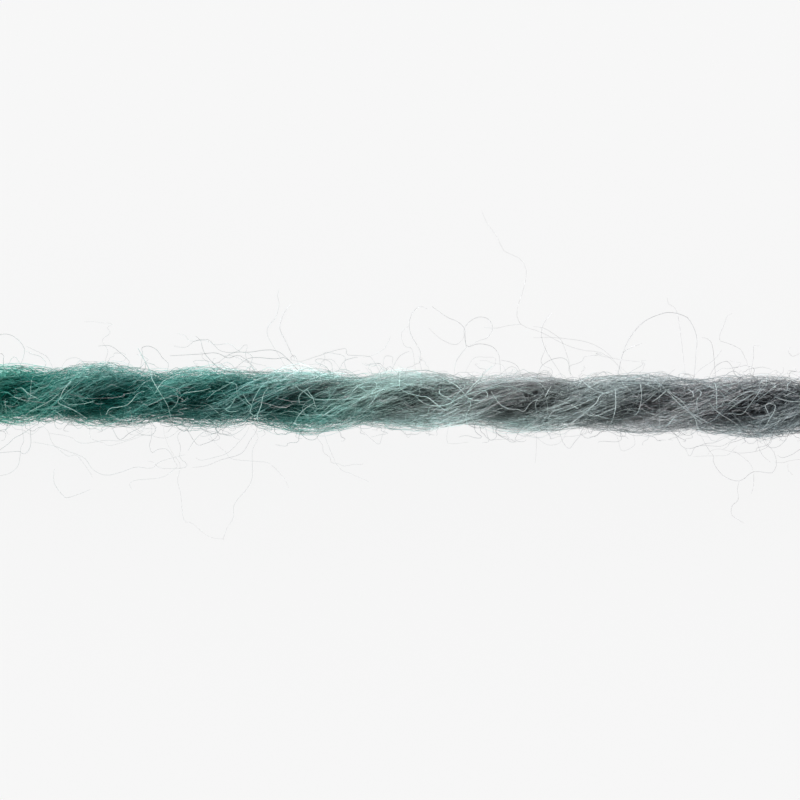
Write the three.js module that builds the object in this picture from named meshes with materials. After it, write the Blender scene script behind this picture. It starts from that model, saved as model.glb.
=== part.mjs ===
// A short cut length of soft two-ply wool yarn, lying straight on the surface z = 0.
// Millimetres, +Z up. The strand runs along X, with its cut ends at both ends of X.
import * as THREE from 'three';

// The strand
const strandLength = 40;
const axisHeight = 1.06; // the lower ply is pressed flat by about 0.1 where it touches down

// The two plies, squashed against each other so that their sections overlap
const plyRadius = 0.9;
const plyOffset = 0.26; // from the strand's axis to the centre of each ply

// The ply twist: the plies swap sides once each half turn, and the yarn is S-plied
const halfTurnLength = 4.257;
const firstGrooveX = -15.6; // a groove between the plies faces straight up here
const twistDrift = 0.22; // half turns gathered towards the left half, where the twist is tighter
const twistDriftSpan = 29.8;

// The cut ends, where the twist lets go a little and the plies spread
const bloomLength = 1.8;
const bloomSpread = 0.14; // extra ply offset
const bloomSwell = 0.06; // share added to the ply radius

// Thick and thin places of the handspun-looking plies
const slubs = [
  { ply: 0, x: -12.0, halfLength: 2.2, extraRadius: 0.09 },
  { ply: 1, x: -3.9, halfLength: 2.0, extraRadius: 0.17 },
  { ply: 0, x: 1.6, halfLength: 3.4, extraRadius: -0.06 },
  { ply: 1, x: 3.0, halfLength: 2.6, extraRadius: -0.05 },
  { ply: 0, x: 7.9, halfLength: 2.4, extraRadius: -0.06 },
  { ply: 1, x: 12.9, halfLength: 2.2, extraRadius: 0.09 },
  { ply: 0, x: 18.0, halfLength: 2.5, extraRadius: 0.04 },
  { ply: 1, x: -17.0, halfLength: 2.8, extraRadius: 0.03 },
];

// The mesh: rings of points along the strand
const ringCount = 121;
const sideCount = 32; // a multiple of four, so that a point lies in the bottom of each groove

const yarnColour = 0x5a7370;
const yarnRoughness = 0.95;

// Half turns made by the ply twist between the first groove and x.
function halfTurnsAt(x) {
  const along = x - firstGrooveX;
  return along / halfTurnLength + twistDrift * Math.sin((Math.PI * along) / twistDriftSpan);
}

// Direction of a ply's centre seen from the strand's axis, from +Y towards +Z.
// It falls as x grows, which is what makes the twist left-handed.
function plyAngleAt(ply, x) {
  return Math.PI * (1 - ply) - Math.PI * halfTurnsAt(x);
}

// 1 at the cut ends, falling smoothly to 0 over the bloom's length.
function bloomAt(x) {
  return 1 - THREE.MathUtils.smoothstep(strandLength / 2 - Math.abs(x), 0, bloomLength);
}

// Radius of a ply at x: the plain radius, the bloom, and the bell curve of each slub.
function plyRadiusAt(ply, x) {
  let radius = plyRadius * (1 + bloomSwell * bloomAt(x));
  for (const slub of slubs) {
    if (slub.ply === ply) {
      radius += slub.extraRadius * Math.exp(-(((x - slub.x) / slub.halfLength) ** 2));
    }
  }
  return radius;
}

// Distance from the strand's axis to the outline of a ply's circle, in the direction
// that lies at the given angle from the ply's centre.
function reachOfPly(angle, offset, radius) {
  return offset * Math.cos(angle) + Math.sqrt(radius ** 2 - (offset * Math.sin(angle)) ** 2);
}

// One point of a ring: the outline of the two joined plies, kept above the surface.
function strandPoint(x, side) {
  const angle = plyAngleAt(0, x) + (2 * Math.PI * side) / sideCount;
  const offset = plyOffset + bloomSpread * bloomAt(x);
  const reach = Math.max(
    reachOfPly(angle - plyAngleAt(0, x), offset, plyRadiusAt(0, x)),
    reachOfPly(angle - plyAngleAt(1, x), offset, plyRadiusAt(1, x)),
  );
  const height = axisHeight + reach * Math.sin(angle);
  return [x, reach * Math.cos(angle), Math.max(height, 0)];
}

// Rings from the left cut end to the right one, the side between them, and a flat fan
// over each cut end.
function strandGeometry() {
  const positions = [];
  for (let ring = 0; ring < ringCount; ring += 1) {
    const x = strandLength * (ring / (ringCount - 1) - 0.5);
    for (let side = 0; side < sideCount; side += 1) {
      positions.push(...strandPoint(x, side));
    }
  }
  const leftCentre = positions.length / 3;
  positions.push(-strandLength / 2, 0, axisHeight);
  positions.push(strandLength / 2, 0, axisHeight);
  const rightCentre = leftCentre + 1;
  const lastRing = (ringCount - 1) * sideCount;

  const triangles = [];
  for (let side = 0; side < sideCount; side += 1) {
    const next = (side + 1) % sideCount;
    for (let ring = 0; ring < ringCount - 1; ring += 1) {
      const here = ring * sideCount;
      const there = here + sideCount;
      triangles.push(here + side, there + next, there + side);
      triangles.push(here + side, here + next, there + next);
    }
    triangles.push(leftCentre, next, side);
    triangles.push(rightCentre, lastRing + side, lastRing + next);
  }

  const geometry = new THREE.BufferGeometry();
  geometry.setAttribute('position', new THREE.Float32BufferAttribute(positions, 3));
  geometry.setIndex(triangles);
  geometry.computeBoundingBox();
  const centreY = (geometry.boundingBox.min.y + geometry.boundingBox.max.y) / 2;
  geometry.translate(0, -centreY, 0);
  geometry.computeVertexNormals();
  return geometry;
}

function yarnStrand() {
  const material = new THREE.MeshStandardMaterial({
    color: yarnColour,
    roughness: yarnRoughness,
    metalness: 0,
  });
  const strand = new THREE.Mesh(strandGeometry(), material);
  strand.name = 'yarn_strand';
  return strand;
}

const model = new THREE.Group();
model.add(yarnStrand());

export default model;
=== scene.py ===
import math

import bpy
import numpy as np
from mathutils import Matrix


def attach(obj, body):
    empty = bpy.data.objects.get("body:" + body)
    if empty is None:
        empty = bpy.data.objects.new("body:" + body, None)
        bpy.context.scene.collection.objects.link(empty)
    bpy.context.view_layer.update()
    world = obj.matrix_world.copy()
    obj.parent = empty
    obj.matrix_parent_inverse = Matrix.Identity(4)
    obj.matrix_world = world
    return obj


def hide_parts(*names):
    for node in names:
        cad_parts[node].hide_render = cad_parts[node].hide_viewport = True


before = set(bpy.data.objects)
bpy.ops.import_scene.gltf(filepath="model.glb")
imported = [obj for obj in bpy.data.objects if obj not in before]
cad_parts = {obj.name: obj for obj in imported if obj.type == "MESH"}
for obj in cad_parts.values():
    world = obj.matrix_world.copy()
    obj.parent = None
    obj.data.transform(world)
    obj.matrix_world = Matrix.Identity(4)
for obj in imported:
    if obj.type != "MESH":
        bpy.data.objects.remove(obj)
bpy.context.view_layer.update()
print("frame loaded")

mm = 0.001  # everything below is worked out in millimetres and written in metres

# The strand as it lies: two plies, squashed against each other and twisted left-handed
strand = {
    "length": 40.0,
    "axisHeight": 1.06,
    "plyRadius": 0.9,
    "plyOffset": 0.26,  # strand axis to ply centre
    "halfTurn": 4.257,  # the plies swap sides once in this length
    "firstGroove": -15.6,  # a groove faces straight up here
    "twistDrift": 0.22,
    "twistDriftSpan": 29.8,
    "bloomLength": 1.8,  # the plies spread at the cut ends
    "bloomSpread": 0.14,
    "bloomSwell": 0.06,
    "floorGap": 0.02,
}
half = strand["length"] / 2

# Thick and thin places of the plies
slubs = [
    {"ply": 0, "x": -12.0, "halfLength": 2.2, "extra": 0.09},
    {"ply": 1, "x": -3.9, "halfLength": 2.0, "extra": 0.17},
    {"ply": 0, "x": 1.6, "halfLength": 3.4, "extra": -0.06},
    {"ply": 1, "x": 3.0, "halfLength": 2.6, "extra": -0.05},
    {"ply": 0, "x": 7.9, "halfLength": 2.4, "extra": -0.06},
    {"ply": 1, "x": 12.9, "halfLength": 2.2, "extra": 0.09},
    {"ply": 0, "x": 18.0, "halfLength": 2.5, "extra": 0.04},
    {"ply": 1, "x": -17.0, "halfLength": 2.8, "extra": 0.03},
]


# Half turns of the twist up to x: the distance over a half turn's length, plus one slow sine.
def halfTurns(x):
    along = x - strand["firstGroove"]
    drift = strand["twistDrift"] * np.sin(math.pi * along / strand["twistDriftSpan"])
    return along / strand["halfTurn"] + drift


# Direction of a ply's centre from the strand's axis: it falls by half a circle each half turn.
def plyAngle(ply, x):
    return math.pi * (1 - ply) - math.pi * halfTurns(x)


# 1 at the cut ends, falling to 0 over the bloom's length by a smooth step.
def bloom(x):
    inward = np.clip((half - np.abs(x)) / strand["bloomLength"], 0, 1)
    return 1 - inward * inward * (3 - 2 * inward)


# Radius of a ply: the plain radius with its bloom, plus a bell curve for each of its slubs.
def plyRadius(ply, x):
    radius = strand["plyRadius"] * (1 + strand["bloomSwell"] * bloom(x))
    for slub in slubs:
        bell = np.exp(-(((x - slub["x"]) / slub["halfLength"]) ** 2))
        radius = radius + np.where(ply == slub["ply"], slub["extra"], 0) * bell
    return radius


# Distance from the strand's axis to the joined plies' outline, in a direction round that axis:
# the further one of the two circles' far walls.
def outlineReach(x, angle, share=1.0):
    offset = strand["plyOffset"] + strand["bloomSpread"] * bloom(x)
    walls = []
    for ply in (0, 1):
        turned = angle - plyAngle(ply, x)
        root = (plyRadius(ply, x) * share) ** 2 - (offset * np.sin(turned)) ** 2
        walls.append(offset * np.cos(turned) + np.sqrt(np.maximum(root, 0)))
    return np.maximum(walls[0], walls[1])


# The strand's box is centred on y = 0, as its solid's is: half the sum of its widest reaches.
def centreShift():
    x = np.linspace(-half, half, 121)[:, None]
    angle = plyAngle(0, x) + np.arange(32)[None, :] * math.tau / 32
    y = outlineReach(x, angle) * np.cos(angle)
    return -(y.min() + y.max()) / 2


axisY = centreShift()


# Height above the floor: z, bent smoothly so that it never goes under the floor gap.
def pressed(z, softness=0.03):
    gap = strand["floorGap"]
    return gap + softness * np.logaddexp(0, (z - gap) / softness)


# Points from their coordinates, with z pressed off the floor.
def pointsOf(x, y, z):
    return np.stack(np.broadcast_arrays(x, y, pressed(z)), axis=-1)


# A point round a ply: its centre, plus reach times its radius in the direction around,
# which is 0 on the side that faces out of the strand.
def roundPly(ply, x, around, reach):
    toCentre = plyAngle(ply, x)
    offset = strand["plyOffset"] + strand["bloomSpread"] * bloom(x)
    out = plyRadius(ply, x) * reach
    y = axisY + offset * np.cos(toCentre) + out * np.cos(toCentre + around)
    z = strand["axisHeight"] + offset * np.sin(toCentre) + out * np.sin(toCentre + around)
    return pointsOf(x, y, z)


# A point round the whole strand: the outline's reach plus a lift, in the direction angle.
def roundStrand(x, angle, lift, share=1.0):
    out = outlineReach(x, angle, share) + lift
    y = axisY + out * np.cos(angle)
    z = strand["axisHeight"] + out * np.sin(angle)
    return pointsOf(x, y, z)


# How fast the fibres turn round their own ply, against the ply twist, in radians a millimetre
spin = {"mean": 0.33, "spread": 0.2}
fibreTurn = spin["mean"] - math.pi / strand["halfTurn"]  # round the strand's axis

# Locks of wool, between about -1 and 1: a sum of sines over the way round a ply and along it,
# slanted so that each lock runs with the fibres
lockWaves = [
    {"count": 4, "length": 9.0, "size": 0.32, "phase": 0.4},
    {"count": 7, "length": -13.0, "size": 0.30, "phase": 2.1},
    {"count": 12, "length": 8.0, "size": 0.26, "phase": 4.0},
    {"count": 19, "length": -10.0, "size": 0.20, "phase": 1.3},
]


# The locks' height, and the pull sideways towards their middles.
def locks(ply, x, around):
    carried = around - spin["mean"] * x
    height, pull = 0, 0
    for wave in lockWaves:
        bend = 0.9 * np.sin(x * 0.9 + wave["phase"] * 3 + ply)
        turn = wave["count"] * carried + math.tau * x / wave["length"]
        turn = turn + wave["phase"] + ply * 1.7 + bend
        height = height + wave["size"] * np.sin(turn)
        pull = pull + wave["size"] * np.cos(turn)
    return height, pull


# Hollows between the locks: the fibres sink a little in them, and their colour is darkened there
# as painted shade. angle is in degrees from +Y towards +Z, so that 90 faces straight up, and so
# is width. length runs with the fibres.
hollows = [
    {"x": -19.6, "angle": 84, "length": 1.2, "width": 18, "deep": 0.7},
    {"x": -15.7, "angle": 92, "length": 0.8, "width": 18, "deep": 0.8},
    {"x": -11.3, "angle": 98, "length": 1.5, "width": 25, "deep": 1.0},
    {"x": -8.6, "angle": 94, "length": 1.1, "width": 17, "deep": 0.5},
    {"x": -5.1, "angle": 100, "length": 2.1, "width": 24, "deep": 0.75},
    {"x": -2.3, "angle": 76, "length": 0.9, "width": 15, "deep": 0.5},
    {"x": 1.4, "angle": 76, "length": 0.8, "width": 15, "deep": 0.6},
    {"x": 3.5, "angle": 68, "length": 1.0, "width": 14, "deep": 0.6},
    {"x": 5.2, "angle": 100, "length": 1.3, "width": 18, "deep": 0.85},
    {"x": 9.5, "angle": 99, "length": 2.0, "width": 20, "deep": 0.9},
    {"x": 14.2, "angle": 91, "length": 2.2, "width": 24, "deep": 1.0},
    {"x": -7.8, "angle": 250, "length": 1.2, "width": 14, "deep": 0.8},
    {"x": 7.2, "angle": 285, "length": 1.2, "width": 14, "deep": 0.8},
    {"x": 17.4, "angle": 215, "length": 1.0, "width": 12, "deep": 0.7},
    {"x": -16.6, "angle": 330, "length": 1.0, "width": 12, "deep": 0.7},
]


# How deep in a hollow a point lies, 0 to 1: the strongest of their bells, each turned along x
# as the fibres turn.
def hollowAt(x, angle):
    deepest = 0
    for hollow in hollows:
        along = x - hollow["x"]
        across = angle - math.radians(hollow["angle"]) - fibreTurn * along
        across = np.remainder(across + math.pi, math.tau) - math.pi
        spread = (along / hollow["length"]) ** 2 + (across / math.radians(hollow["width"])) ** 2
        deepest = np.maximum(deepest, hollow["deep"] * np.exp(-spread))
    return deepest


# 1 in the grooves between the plies and 0 on their backs: a sine to a power. It masks the
# painted shade in the grooves.
grooveShadeSharpness = 5


def grooveShadeAt(x, angle):
    return np.abs(np.sin(angle - plyAngle(0, x))) ** grooveShadeSharpness


# Draws for many fibres at once, each a column with one row for a fibre
class Draw:
    def __init__(self, seed, count):
        self.rng = np.random.default_rng(seed)
        self.count = count

    def even(self, low, high):
        return self.rng.uniform(low, high, (self.count, 1))

    def bell(self, middle, spread):
        return self.rng.normal(middle, spread, (self.count, 1))

    # A sine along each fibre, with its own wave length and start
    def wave(self, along, shortest, longest):
        return np.sin(math.tau * along / self.even(shortest, longest) + self.even(0, math.tau))


# Puts points, faces and one value pair for each point into a mesh, and hands back its object.
# faces is a list of index arrays, one for each number of corners.
def makePiece(name, points, faces, dye, material):
    mesh = bpy.data.meshes.new(name)
    corners = np.concatenate([face.ravel() for face in faces])
    sizes = np.concatenate([np.full(len(face), face.shape[1]) for face in faces])
    starts = np.concatenate([[0], np.cumsum(sizes)[:-1]])
    mesh.vertices.add(len(points))
    mesh.vertices.foreach_set("co", (points * mm).astype(np.float32).ravel())
    mesh.loops.add(len(corners))
    mesh.loops.foreach_set("vertex_index", corners.astype(np.int32))
    mesh.polygons.add(len(starts))
    mesh.polygons.foreach_set("loop_start", starts.astype(np.int32))
    mesh.update(calc_edges=True)
    for layerName in ("dye", "OFBake"):
        layer = mesh.uv_layers.new(name=layerName)
        layer.uv.foreach_set("vector", dye[corners].astype(np.float32).ravel())
    mesh.shade_smooth()
    mesh.validate()
    mesh.materials.append(material)
    piece = bpy.data.objects.new(name, mesh)
    bpy.context.scene.collection.objects.link(piece)
    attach(piece, "root")
    return piece


# Even shares of the way along a fibre, from 0 to 1.
def sharesAlong(kind):
    return np.linspace(0, 1, kind["steps"])[None, :]


# Unit vectors along the last axis.
def unit(vectors):
    return vectors / np.maximum(np.linalg.norm(vectors, axis=-1, keepdims=True), 1e-12)


# Each side of a tube is shifted a little on the dye and shade map, so that no face is a line there
sideShift = np.array([[0, -0.004], [0, 0.004], [0.002, 0]])


# Three-sided tubes along many paths at once. The first side points along the cross product of
# the path's direction and the fibre's own reference vector, and the others are turned from it.
def fibreMesh(name, paths, thickness, reference, dye, material):
    count, steps = paths.shape[:2]
    along = unit(np.gradient(paths, axis=1))
    side = unit(np.cross(along, np.broadcast_to(reference[:, None, :], paths.shape)))
    up = np.cross(along, side)
    turn = np.arange(3) * math.tau / 3
    spoke = (
        np.cos(turn)[None, None, :, None] * side[:, :, None, :]
        + np.sin(turn)[None, None, :, None] * up[:, :, None, :]
    )
    radius = np.broadcast_to(thickness, (count, steps))[:, :, None, None] / 2
    points = paths[:, :, None, :] + radius * spoke
    points[..., 2] = np.maximum(points[..., 2], 0.0)

    index = np.arange(count * steps * 3).reshape(count, steps, 3)
    here, there = index[:, :-1, :], index[:, 1:, :]
    nextSide = [1, 2, 0]
    walls = np.stack([here, here[:, :, nextSide], there[:, :, nextSide], there], axis=-1)
    caps = np.concatenate([index[:, 0, ::-1], index[:, -1, :]])

    pairs = np.repeat(np.broadcast_to(dye, (count, steps, 2))[:, :, None, :], 3, axis=2)
    pairs = pairs + sideShift
    return makePiece(
        name, points.reshape(-1, 3), [walls.reshape(-1, 4), caps], pairs.reshape(-1, 2), material
    )


# A vector across the strand for each fibre, in the direction angle, to turn its tube by.
def acrossStrand(angle):
    return np.concatenate([angle * 0, np.cos(angle), np.sin(angle)], axis=1)


# Where a fibre lies on the dye and shade map: its place along the strand, carried a little by its
# own draft, and its tone, which holds its own tone and, for many fibres, painted shade and light.
# The dye's change runs slantwise over the plies.
dyeSpan = strand["length"] * 1.3
dyeSlant = 2.4  # mm along for each mm across


def dyeAndShadeOf(x, draft, tone):
    place = np.clip((x + draft) / dyeSpan + 0.5, 0.01, 0.99)
    return np.stack(np.broadcast_arrays(place, np.clip(tone, 0.02, 0.98)), axis=-1)


# Wraps an output socket, so that sums on it become Math nodes
class Value:
    def __init__(self, paint, socket):
        self.paint = paint
        self.socket = socket

    def join(self, operation, first, second):
        return self.paint.node("ShaderNodeMath", {"operation": operation}, {0: first, 1: second})

    def __add__(self, other):
        return self.join("ADD", self, other)

    def __radd__(self, other):
        return self.join("ADD", other, self)

    def __sub__(self, other):
        return self.join("SUBTRACT", self, other)

    def __rsub__(self, other):
        return self.join("SUBTRACT", other, self)

    def __mul__(self, other):
        return self.join("MULTIPLY", self, other)

    def __rmul__(self, other):
        return self.join("MULTIPLY", other, self)


# Adds nodes to a material or a world: node takes the type, its settings, its sockets' values or
# links, and the output to hand back
class Paint:
    def __init__(self, tree):
        self.tree = tree
        tree.nodes.clear()

    def node(self, kind, settings=None, inputs=None, output=0):
        made = self.tree.nodes.new(kind)
        for key, value in (settings or {}).items():
            if key == "stops":
                self.setStops(made.color_ramp, value)
            else:
                setattr(made, key, value)
        for key, value in (inputs or {}).items():
            if isinstance(value, Value):
                self.tree.links.new(value.socket, made.inputs[key])
            else:
                made.inputs[key].default_value = value
        return Value(self, made.outputs[output]) if made.outputs else made

    def setStops(self, ramp, stops):
        while len(ramp.elements) < len(stops):
            ramp.elements.new(0.5)
        for element, (place, colour) in zip(ramp.elements, stops):
            element.position = place
        for element, (place, colour) in zip(ramp.elements, stops):
            element.color = colour

    def mixed(self, factor, first, second):
        return self.node(
            "ShaderNodeMix", {"data_type": "RGBA"}, {0: factor, 6: first, 7: second}, 2
        )

    def scaled(self, colour, by):
        return self.node("ShaderNodeVectorMath", {"operation": "SCALE"}, {0: colour, "Scale": by})


# A screen colour, 0 to 255, as the linear light that shaders use.
def light(red, green, blue):
    parts = [c / 255 for c in (red, green, blue)]
    return tuple(c / 12.92 if c < 0.04045 else ((c + 0.055) / 1.055) ** 2.4 for c in parts) + (1,)


# The dyed colour of each ply along the strand, at x in mm. The second ply keeps its teal longer.
dyes = [
    {"x": -20, "first": (26, 162, 144), "second": (22, 166, 146)},
    {"x": -11, "first": (62, 134, 128), "second": (44, 138, 129)},
    {"x": -5, "first": (104, 152, 150), "second": (66, 148, 140)},
    {"x": -1, "first": (194, 208, 207), "second": (168, 194, 190)},
    {"x": 5, "first": (178, 178, 180), "second": (164, 174, 174)},
    {"x": 13, "first": (158, 156, 159), "second": (142, 151, 155)},
    {"x": 20, "first": (110, 109, 113), "second": (104, 110, 115)},
]

# The wool's finishes. shade is the dye's strength at tone 0 and 1, bare is the share of undyed
# hair at tone 0 and 1, tint is the share of pale dye in it, and through is the share of light
# that passes through a fibre.
plyWool = {
    "shade": (0.46, 2.6), "bare": (0.0, 0.5), "undyed": (206, 216, 214), "tint": 0.15,
    "roughness": 0.7, "shine": 0.04, "through": 0.35,
}
wools = {
    "core": {
        "ply": "second", "shade": (0.6, 1.1), "streaks": (36.0, 60.0), "roughness": 0.9,
        "shine": 0.1, "through": 0.0,
    },
    "first_ply": {"ply": "first", **plyWool},
    "second_ply": {"ply": "second", **plyWool},
    "down": {
        "ply": "second", "shade": (0.8, 2.3), "bare": (0.0, 0.65), "undyed": (218, 228, 228),
        "tint": 0.2, "roughness": 0.7, "shine": 0.06, "through": 0.5,
    },
    "surface_hair": {
        "ply": "second", "shade": (0.9, 2.1), "bare": (0.0, 0.9), "undyed": (232, 243, 242),
        "tint": 0.24, "roughness": 0.5, "shine": 0.1, "through": 0.3,
    },
    "stray_hair": {
        "ply": "second", "shade": (0.7, 1.2), "bare": (0.0, 1.0), "undyed": (174, 174, 176),
        "tint": 0.05, "roughness": 0.5, "shine": 0.1, "through": 0.0,
    },
}
specks = {"scale": 2600.0, "detail": 2.0, "least": 0.6, "range": 0.8}  # uneven dye in a fibre
paleDye = 2.4  # the dye's strength in the bare hair's tint
streakBump = {"detail": 3.0, "strength": 0.6, "distance": 0.00004}  # the core's, in metres


# Dyed wool: the ramp of its ply's dye along the strand, scaled by the fibre's tone and a fine
# noise, then mixed with bare hair where the tone is light. The tone on the chart holds painted
# shade and light as well as the fibre's own tone. The core has streaks for its tone.
def woolMaterial(kind):
    wool = wools[kind]
    material = bpy.data.materials.new("wool_" + kind)
    material.use_nodes = True
    paint = Paint(material.node_tree)
    stops = [(row["x"] / dyeSpan + 0.5, light(*row[wool["ply"]])) for row in dyes]
    chart = paint.node("ShaderNodeUVMap", {"uv_map": "dye"})
    place = paint.node("ShaderNodeSeparateXYZ", {}, {0: chart}, 0)
    if "streaks" in wool:
        stretched = paint.node(
            "ShaderNodeVectorMath", {"operation": "MULTIPLY"}, {0: chart, 1: (*wool["streaks"], 1)}
        )
        streaks = {"Vector": stretched, "Scale": 1.0, "Detail": streakBump["detail"]}
        tone = paint.node("ShaderNodeTexNoise", {}, streaks)
    else:
        tone = paint.node("ShaderNodeSeparateXYZ", {}, {0: chart}, 1)
    dyed = paint.node("ShaderNodeValToRGB", {"stops": stops}, {0: place})
    where = paint.node("ShaderNodeTexCoord", {}, {}, 3)
    grain = {"Vector": where, "Scale": specks["scale"], "Detail": specks["detail"]}
    speck = paint.node("ShaderNodeTexNoise", {}, grain)
    low, high = wool["shade"]
    strength = low + (high - low) * tone * tone
    strength = strength * (specks["least"] + specks["range"] * speck)
    colour = paint.scaled(dyed, strength)
    if "bare" in wool:
        low, high = wool["bare"]
        bare = paint.mixed(wool["tint"], light(*wool["undyed"]), paint.scaled(dyed, paleDye))
        colour = paint.mixed(low + (high - low) * tone * tone, colour, bare)
    surface = {
        "Base Color": colour,
        "Roughness": wool["roughness"],
        "Specular IOR Level": wool["shine"],
    }
    if "streaks" in wool:
        bump = {
            "Height": tone, "Strength": streakBump["strength"], "Distance": streakBump["distance"],
        }
        surface["Normal"] = paint.node("ShaderNodeBump", {}, bump)
    shader = paint.node("ShaderNodeBsdfPrincipled", {}, surface)
    if wool["through"] > 0:
        glow = paint.node("ShaderNodeBsdfTranslucent", {}, {"Color": colour})
        shader = paint.node("ShaderNodeMixShader", {}, {0: wool["through"], 1: shader, 2: glow})
    paint.node("ShaderNodeOutputMaterial", {}, {"Surface": shader})
    return material


woolOf = {kind: woolMaterial(kind) for kind in wools}
print("wool dyed")

# The camera looks straight down on the strand, rolled a little, as the photo has it
view = {
    "width": 32.0, "lens": 100.0, "sensor": 36.0, "roll": 0.845, "aimX": 0.0, "aimY": 0.02,
    "near": 0.001, "far": 10.0,  # in metres
}

distance = view["width"] * view["lens"] / view["sensor"]
lens = bpy.data.cameras.new("camera")
lens.lens = view["lens"]
lens.sensor_width = view["sensor"]
lens.clip_start = view["near"]
lens.clip_end = view["far"]
camera = bpy.data.objects.new("camera", lens)
camera.location = (
    view["aimX"] * mm,
    (axisY + view["aimY"]) * mm,
    (strand["axisHeight"] + distance) * mm,
)
camera.rotation_euler = (0, 0, math.radians(view["roll"]))
bpy.context.scene.collection.objects.link(camera)
bpy.context.scene.camera = camera
print("camera placed")

# The core: the joined plies under their loose fibres
core = {"rings": 320, "sides": 40, "share": 0.46, "locks": 0.03, "inset": 0.35}


# Rings of points on the outline at a share of the plies' radius, raised by the locks, with a fan
# over each end. Its chart runs along the strand and, mirrored once, round it with the fibres.
def coreMesh():
    end = half - core["inset"]
    x = np.linspace(-end, end, core["rings"])[:, None]
    side = np.arange(core["sides"])[None, :] * math.tau / core["sides"]
    angle = plyAngle(0, x) + side
    lift = core["locks"] * (locks(0, x, side)[0] + locks(1, x, side)[0])
    points = roundStrand(x, angle, lift, core["share"])
    carried = np.remainder((side - spin["mean"] * x) / math.pi, 2)
    dye = dyeAndShadeOf(x, 0.0, np.abs(carried - 1))
    index = np.arange(points.shape[0] * points.shape[1]).reshape(points.shape[:2])
    after = np.roll(index, -1, axis=1)
    walls = np.stack([index[:-1], after[:-1], after[1:], index[1:]], axis=-1).reshape(-1, 4)
    centres = index.size + np.arange(2)
    ends = np.array([[-end, axisY, strand["axisHeight"]], [end, axisY, strand["axisHeight"]]])
    first = np.stack([np.full(core["sides"], centres[0]), after[0], index[0]], axis=-1)
    last = np.stack([np.full(core["sides"], centres[1]), index[-1], after[-1]], axis=-1)
    endDye = dyeAndShadeOf(ends[:, 0], 0.0, np.array([0.5, 0.5]))
    return makePiece(
        "yarn_core",
        np.concatenate([points.reshape(-1, 3), ends]),
        [walls, np.concatenate([first, last])],
        np.concatenate([dye.reshape(-1, 2), endDye]),
        woolOf["core"],
    )


yarnCore = coreMesh()
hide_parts("yarn_strand")
print("core made")

# The fibres of the plies, in layers from the core outwards. reach is a share of the ply's
# radius, and thin crowds the fibres towards its lower end.
plyLayers = [
    {
        "name": "inner", "count": 1150, "steps": 9, "length": (4, 7), "reach": (0.42, 0.70),
        "thin": 1.0, "crimp": 0.03, "locks": 0.05, "bunch": 0.03, "dive": 0.02,
        "thick": (0.030, 0.044), "loose": 0.0,
    },
    {
        "name": "outer", "count": 2650, "steps": 13, "length": (2.2, 5.4), "reach": (0.52, 1.14),
        "thin": 2.7, "crimp": 0.05, "locks": 0.06, "bunch": 0.04, "dive": 0.04,
        "thick": (0.014, 0.030), "loose": 0.12,
    },
]
# Shares of a fibre's tone. outer, groove and hollow are painted shade: darker deep in the wool, in
# the grooves and in the hollows. edge is painted light on both sides, and side is painted side
# light and shade.
toneAndShadeOf = {
    "deep": 0.32, "lock": 0.11, "outer": 0.37, "groove": 0.23, "hollow": 0.52, "edge": 0.17,
    "side": 0.13,
}
# Spans of the painted shade and light: out from the strand's axis, and along the strand for the
# side's change over.
paintedShadeSpan = {
    "outerFrom": 0.45, "outerOver": 0.7, "outerMost": 1.2,  # mm from the strand's axis
    "swapAt": -3.0, "swapOver": 6.0, "swapBias": 0.2,  # mm along, where the sides change over
}
fleck = {"spread": 0.10, "pale": 0.22, "rarity": 6}  # how fibres differ, with a few pale ones
draftSpread = {"ply": 0.45, "hair": 0.7, "placed": 1.0}  # spread of the drafts, in mm
hollowSink = 0.18  # how far the fibres sink in a hollow, as a share of their ply's radius
endDip = {"share": 0.10, "cutZone": 0.6}  # none dips within this many mm of a cut end
seeds = {"plies": 100, "cutEnds": 200, "fringe": 31, "wandering": 47, "halo": 59, "placed": 71}


# How light a fibre is: its own tone plus a share of the locks, with painted shade and light
# laid on: lighter with its distance from the strand's axis and darker in the grooves between the
# plies and in the hollows, as painted shade. Both sides are painted lighter than the top, and the
# -Y side is painted darker than the other at the teal end and lighter at the grey end.
def woolToneAndShade(paths, own, lock, hollow):
    x, across, up = paths[..., 0], paths[..., 1] - axisY, paths[..., 2] - strand["axisHeight"]
    outer = (np.hypot(across, up) - paintedShadeSpan["outerFrom"]) / paintedShadeSpan["outerOver"]
    outer = np.clip(outer, 0, paintedShadeSpan["outerMost"])
    groove = grooveShadeAt(x, np.arctan2(up, across))
    tone = toneAndShadeOf["deep"] + own + toneAndShadeOf["lock"] * lock + toneAndShadeOf["outer"] * outer
    turnover = np.clip((x - paintedShadeSpan["swapAt"]) / paintedShadeSpan["swapOver"], -1, 1)
    tone = tone - toneAndShadeOf["side"] * across * (paintedShadeSpan["swapBias"] + turnover)
    tone = tone + toneAndShadeOf["edge"] * across * across
    return tone - toneAndShadeOf["groove"] * groove - toneAndShadeOf["hollow"] * hollow


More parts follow.
